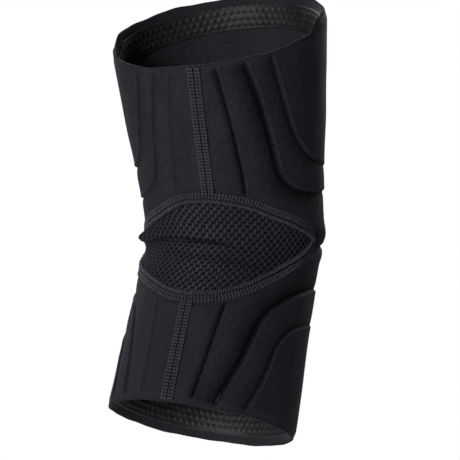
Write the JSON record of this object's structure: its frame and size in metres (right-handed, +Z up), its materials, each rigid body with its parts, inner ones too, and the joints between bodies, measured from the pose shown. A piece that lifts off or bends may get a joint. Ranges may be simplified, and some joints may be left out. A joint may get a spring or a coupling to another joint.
{
  "type": "knee brace",
  "caption": "Pull-on compression knee sleeve with raised padded bands, open hems and a knitted panel behind the knee, moulded half bent and hinged at the knee.",
  "frame": {"origin": "centre of the leg passage at knee height, where the moulded bend of the sleeve's centre line starts", "axes": "+Z up the leg towards the thigh, -Y out through the kneecap, +Y out through the back of the knee, +X towards the wearer's left"},
  "size_m": [0.144, 0.1757, 0.328],
  "materials": {
    "black_jersey": "fine black knit jersey",
    "dark_foam": "closed-cell foam",
    "soft_lining": "brushed lining",
    "open_knit": "open spacer knit",
    "seam_thread": "flat seam stitching",
    "grey_silicone": "matt silicone"
  },
  "bodies": {
    "thigh_half": {"thigh_back_seam_thread": "seam_thread", "thigh_foam_band_left_1": "dark_foam", "thigh_foam_band_left_2": "dark_foam", "thigh_foam_band_left_3": "dark_foam", "thigh_foam_band_right_1": "dark_foam", "thigh_foam_band_right_2": "dark_foam", "thigh_foam_band_right_3": "dark_foam", "thigh_front_foam_pad": "dark_foam", "thigh_grip_strip": "grey_silicone", "thigh_lining": "soft_lining", "thigh_outer_cover": "black_jersey", "thigh_panel_seam_thread": "seam_thread", "knee_front_foam_pad": "dark_foam", "knee_front_lining": "soft_lining", "knee_front_outer_cover": "black_jersey", "popliteal_knit_panel": "open_knit", "popliteal_panel_lining": "soft_lining"},
    "calf_half": {"calf_back_seam_thread": "seam_thread", "calf_foam_band_left_1": "dark_foam", "calf_foam_band_left_2": "dark_foam", "calf_foam_band_left_3": "dark_foam", "calf_foam_band_right_1": "dark_foam", "calf_foam_band_right_2": "dark_foam", "calf_foam_band_right_3": "dark_foam", "calf_front_foam_pad": "dark_foam", "calf_grip_strip": "grey_silicone", "calf_lining": "soft_lining", "calf_outer_cover": "black_jersey", "calf_panel_seam_thread": "seam_thread"}
  },
  "joints": [
    {"name": "knee_flexion", "type": "hinge", "parent": "thigh_half", "child": "calf_half", "pos_m": [0, 0.011, 0], "axis": [1, 0, 0], "range_deg": [-43, 40], "stiffness_Nm_per_rad": 1.2, "deforming": ["knee_front_foam_pad", "knee_front_lining", "knee_front_outer_cover", "popliteal_knit_panel", "popliteal_panel_lining"]}
  ]
}
